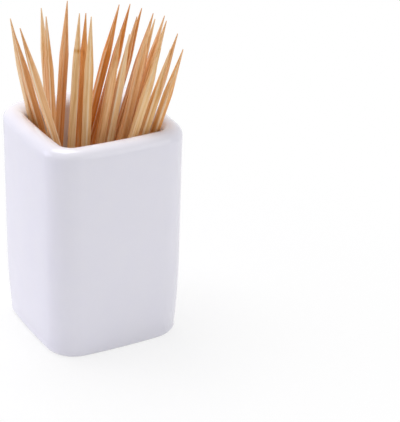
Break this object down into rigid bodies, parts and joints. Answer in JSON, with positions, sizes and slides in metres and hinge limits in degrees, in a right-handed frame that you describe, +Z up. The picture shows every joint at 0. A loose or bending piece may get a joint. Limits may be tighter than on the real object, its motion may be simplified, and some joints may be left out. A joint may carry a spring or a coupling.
{
  "type": "toothpick holder",
  "caption": "Square porcelain cup with bowed sides and a thick rolled rim, holding loose wooden toothpicks that lean in it.",
  "frame": {"origin": "middle of the foot ring, on the table", "axes": "+Z up, +X and +Y square to the cup's sides"},
  "size_m": [0.0308, 0.0314, 0.0693],
  "materials": {
    "porcelain": "gloss",
    "wood_pale": "matte",
    "wood_peach": "matte",
    "wood_tan": "matte",
    "wood_orange": "matte"
  },
  "bodies": {
    "cup": {"holder": "porcelain"},
    "toothpick_01": {"toothpick_01": "wood_pale"},
    "toothpick_02": {"toothpick_02": "wood_peach"},
    "toothpick_03": {"toothpick_03": "wood_peach"},
    "toothpick_04": {"toothpick_04": "wood_pale"},
    "toothpick_05": {"toothpick_05": "wood_peach"},
    "toothpick_06": {"toothpick_06": "wood_peach"},
    "toothpick_07": {"toothpick_07": "wood_pale"},
    "toothpick_08": {"toothpick_08": "wood_tan"},
    "toothpick_09": {"toothpick_09": "wood_pale"},
    "toothpick_10": {"toothpick_10": "wood_orange"},
    "toothpick_11": {"toothpick_11": "wood_orange"},
    "toothpick_12": {"toothpick_12": "wood_tan"},
    "toothpick_13": {"toothpick_13": "wood_peach"},
    "toothpick_14": {"toothpick_14": "wood_peach"},
    "toothpick_15": {"toothpick_15": "wood_peach"},
    "toothpick_16": {"toothpick_16": "wood_pale"},
    "toothpick_17": {"toothpick_17": "wood_peach"},
    "toothpick_18": {"toothpick_18": "wood_peach"},
    "toothpick_19": {"toothpick_19": "wood_pale"},
    "toothpick_20": {"toothpick_20": "wood_peach"},
    "toothpick_21": {"toothpick_21": "wood_pale"},
    "toothpick_22": {"toothpick_22": "wood_pale"},
    "toothpick_23": {"toothpick_23": "wood_pale"},
    "toothpick_24": {"toothpick_24": "wood_peach"},
    "toothpick_25": {"toothpick_25": "wood_tan"}
  },
  "joints": [
    {"name": "lift_01", "type": "slide", "parent": "cup", "child": "toothpick_01", "axis": [-0.1845, 0.0217, 0.9826], "range_m": [0, 0.045]},
    {"name": "lift_02", "type": "slide", "parent": "cup", "child": "toothpick_02", "axis": [-0.2446, 0.0001, 0.9696], "range_m": [0, 0.045]},
    {"name": "lift_03", "type": "slide", "parent": "cup", "child": "toothpick_03", "axis": [-0.2315, 0.1317, 0.9639], "range_m": [0, 0.045]},
    {"name": "lift_04", "type": "slide", "parent": "cup", "child": "toothpick_04", "axis": [-0.0498, 0.0246, 0.9985], "range_m": [0, 0.045]},
    {"name": "lift_05", "type": "slide", "parent": "cup", "child": "toothpick_05", "axis": [-0.0432, -0.0026, 0.9991], "range_m": [0, 0.045]},
    {"name": "lift_06", "type": "slide", "parent": "cup", "child": "toothpick_06", "axis": [0.0859, 0.0252, 0.996], "range_m": [0, 0.045]},
    {"name": "lift_07", "type": "slide", "parent": "cup", "child": "toothpick_07", "axis": [0.0671, -0.0064, 0.9977], "range_m": [0, 0.045]},
    {"name": "lift_08", "type": "slide", "parent": "cup", "child": "toothpick_08", "axis": [0.0593, -0.0011, 0.9982], "range_m": [0, 0.045]},
    {"name": "lift_09", "type": "slide", "parent": "cup", "child": "toothpick_09", "axis": [0.0295, -0.0366, 0.9989], "range_m": [0, 0.045]},
    {"name": "lift_10", "type": "slide", "parent": "cup", "child": "toothpick_10", "axis": [0.2495, -0.0263, 0.968], "range_m": [0, 0.045]},
    {"name": "lift_11", "type": "slide", "parent": "cup", "child": "toothpick_11", "axis": [0.2578, -0.0289, 0.9658], "range_m": [0, 0.045]},
    {"name": "lift_12", "type": "slide", "parent": "cup", "child": "toothpick_12", "axis": [0.2618, -0.0481, 0.9639], "range_m": [0, 0.045]},
    {"name": "lift_13", "type": "slide", "parent": "cup", "child": "toothpick_13", "axis": [0.2612, -0.0671, 0.9629], "range_m": [0, 0.045]},
    {"name": "lift_14", "type": "slide", "parent": "cup", "child": "toothpick_14", "axis": [0.2538, -0.0946, 0.9626], "range_m": [0, 0.045]},
    {"name": "lift_15", "type": "slide", "parent": "cup", "child": "toothpick_15", "axis": [0.2186, -0.0717, 0.9732], "range_m": [0, 0.045]},
    {"name": "lift_16", "type": "slide", "parent": "cup", "child": "toothpick_16", "axis": [0.2402, -0.0897, 0.9666], "range_m": [0, 0.045]},
    {"name": "lift_17", "type": "slide", "parent": "cup", "child": "toothpick_17", "axis": [0.2353, -0.1121, 0.9654], "range_m": [0, 0.045]},
    {"name": "lift_18", "type": "slide", "parent": "cup", "child": "toothpick_18", "axis": [0.1042, -0.1508, 0.9831], "range_m": [0, 0.045]},
    {"name": "lift_19", "type": "slide", "parent": "cup", "child": "toothpick_19", "axis": [0.1084, -0.1473, 0.9831], "range_m": [0, 0.045]},
    {"name": "lift_20", "type": "slide", "parent": "cup", "child": "toothpick_20", "axis": [0.1386, -0.15, 0.9789], "range_m": [0, 0.045]},
    {"name": "lift_21", "type": "slide", "parent": "cup", "child": "toothpick_21", "axis": [0.1607, -0.1571, 0.9744], "range_m": [0, 0.045]},
    {"name": "lift_22", "type": "slide", "parent": "cup", "child": "toothpick_22", "axis": [0.1947, -0.185, 0.9633], "range_m": [0, 0.045]},
    {"name": "lift_23", "type": "slide", "parent": "cup", "child": "toothpick_23", "axis": [0.194, -0.185, 0.9634], "range_m": [0, 0.045]},
    {"name": "lift_24", "type": "slide", "parent": "cup", "child": "toothpick_24", "axis": [0.1765, -0.2383, 0.955], "range_m": [0, 0.045]},
    {"name": "lift_25", "type": "slide", "parent": "cup", "child": "toothpick_25", "axis": [0.1033, -0.3311, 0.9379], "range_m": [0, 0.045]}
  ]
}
